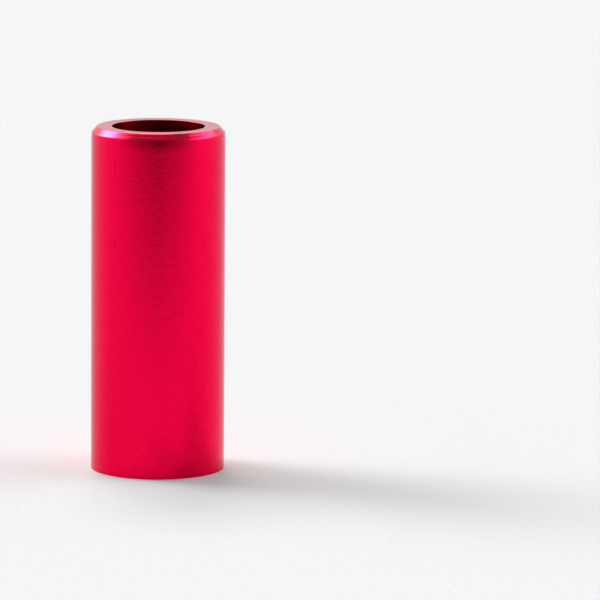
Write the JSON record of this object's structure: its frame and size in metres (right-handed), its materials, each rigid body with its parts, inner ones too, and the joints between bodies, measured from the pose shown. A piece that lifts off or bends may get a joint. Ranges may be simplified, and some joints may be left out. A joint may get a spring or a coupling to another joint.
{
  "type": "shaft sleeve",
  "caption": "Plain cylindrical anodised aluminium sleeve with a through bore, flat ends and a chamfer on the outer edge of one end.",
  "frame": {"origin": "centre of the square end face, on the bore's axis, which is the bottom centre of the part as it stands", "axes": "+Z along the bore's axis from the square end to the chamfered end; X and Y are any two directions across it"},
  "size_m": [0.019, 0.019, 0.049],
  "materials": {
    "red_anodised_aluminium": "red anodised over a fine turned surface, glossy satin"
  },
  "bodies": {
    "root": {"sleeve": "red_anodised_aluminium"}
  },
  "joints": []
}
